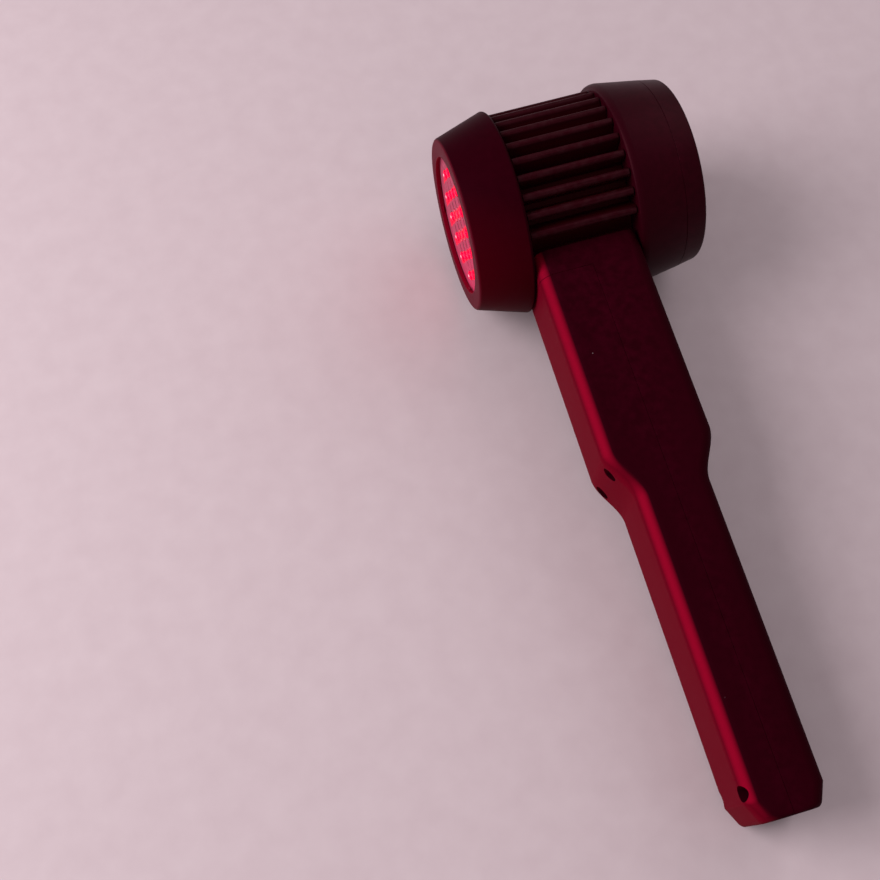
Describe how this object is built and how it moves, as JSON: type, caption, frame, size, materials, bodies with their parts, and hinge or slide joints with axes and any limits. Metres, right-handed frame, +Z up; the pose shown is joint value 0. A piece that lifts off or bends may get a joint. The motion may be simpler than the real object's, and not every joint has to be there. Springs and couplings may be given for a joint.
{
  "type": "cold laser therapy device",
  "caption": "Hand-held cold laser therapy device: finned round head, recessed diode face, display cap with push buttons, and a flat-sided grip at a right angle, lying on its side.",
  "frame": {"origin": "centre of the device's footprint on the surface that it lies on", "axes": "+Z up from that surface, -X the way that the laser side faces, +X the way that the display faces, -Y along the grip to its end"},
  "size_m": [0.0748, 0.2342, 0.066],
  "materials": {
    "black_plastic": "fine matt texture",
    "black_anodised": "black anodised, satin",
    "white_plastic": "matt",
    "red_lens": "clear red lens, polished",
    "brass": "turned",
    "bare_aluminium": "turned",
    "screw_steel": "plated",
    "circuit_board": "solder mask",
    "display": "polished",
    "smoked_window": "polished",
    "grey_rubber": "matt",
    "cell_wrap": "blue plastic wrap",
    "red_wire": "smooth",
    "grey_wire": "smooth"
  },
  "bodies": {
    "device_body": {"front_bezel": "black_plastic", "rear_housing": "black_plastic", "rear_cover": "black_plastic", "rear_handle_shell": "black_plastic", "front_handle_shell": "black_plastic", "battery_holder": "black_plastic", "charge_socket": "black_plastic", "heat_sink": "black_anodised", "light_plate": "white_plastic", "red_diode_01": "red_lens", "red_diode_02": "red_lens", "red_diode_03": "red_lens", "red_diode_04": "red_lens", "red_diode_05": "red_lens", "red_diode_06": "red_lens", "red_diode_07": "red_lens", "red_diode_08": "red_lens", "red_diode_09": "red_lens", "red_diode_10": "red_lens", "red_diode_11": "red_lens", "red_diode_12": "red_lens", "red_diode_13": "red_lens", "red_diode_14": "red_lens", "red_diode_15": "red_lens", "red_diode_16": "red_lens", "infrared_laser_1": "brass", "infrared_laser_2": "brass", "infrared_laser_3": "brass", "infrared_laser_4": "brass", "heat_spreader": "bare_aluminium", "board_screw_1": "screw_steel", "board_screw_2": "screw_steel", "cover_screw_1": "screw_steel", "cover_screw_2": "screw_steel", "cover_screw_3": "screw_steel", "handle_screw_1": "screw_steel", "handle_screw_2": "screw_steel", "handle_screw_3": "screw_steel", "handle_screw_4": "screw_steel", "saddle_screw_1": "screw_steel", "saddle_screw_2": "screw_steel", "driver_screw_1": "screw_steel", "driver_screw_2": "screw_steel", "battery_contact": "screw_steel", "battery_spring": "screw_steel", "diode_board": "circuit_board", "control_board": "circuit_board", "driver_board": "circuit_board", "charge_board": "circuit_board", "display_module": "display", "display_window": "smoked_window", "battery_cell": "cell_wrap", "laser_leads": "red_wire", "battery_leads": "red_wire", "control_leads": "grey_wire"},
    "mode_button_body": {"mode_button": "grey_rubber"},
    "power_button_body": {"power_button": "grey_rubber"},
    "time_button_body": {"time_button": "grey_rubber"}
  },
  "joints": [
    {"name": "mode_button_press", "type": "slide", "parent": "device_body", "child": "mode_button_body", "axis": [-1, 0, 0], "range_m": [0, 0.0006], "stiffness_N_per_m": 1500, "springref_m": -0.0005},
    {"name": "power_button_press", "type": "slide", "parent": "device_body", "child": "power_button_body", "axis": [-1, 0, 0], "range_m": [0, 0.0006], "stiffness_N_per_m": 1500, "springref_m": -0.0005},
    {"name": "time_button_press", "type": "slide", "parent": "device_body", "child": "time_button_body", "axis": [-1, 0, 0], "range_m": [0, 0.0006], "stiffness_N_per_m": 1500, "springref_m": -0.0005}
  ]
}
